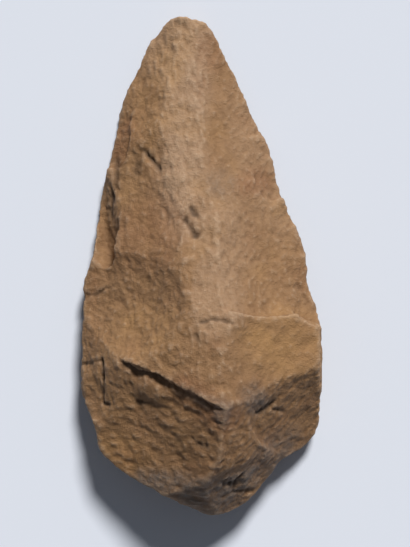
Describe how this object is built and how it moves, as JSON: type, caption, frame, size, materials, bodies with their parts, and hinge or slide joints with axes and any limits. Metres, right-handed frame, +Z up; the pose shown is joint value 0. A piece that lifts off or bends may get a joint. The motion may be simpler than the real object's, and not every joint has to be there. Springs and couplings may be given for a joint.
{
  "type": "stone hand axe",
  "caption": "Pointed stone hand axe with long knapped scars, a raised crest and a thick, steep butt, lying on its flatter face.",
  "frame": {"origin": "on the ground, under the middle of the stone's length and width", "axes": "+Y toward the tip, +X toward the right-hand edge seen from above with the tip away, +Z up from the flatter face it lies on"},
  "size_m": [0.0964, 0.2, 0.0504],
  "materials": {
    "quartzite": "worn, grainy, brown patina"
  },
  "bodies": {
    "root": {"hand_axe": "quartzite"}
  },
  "joints": []
}
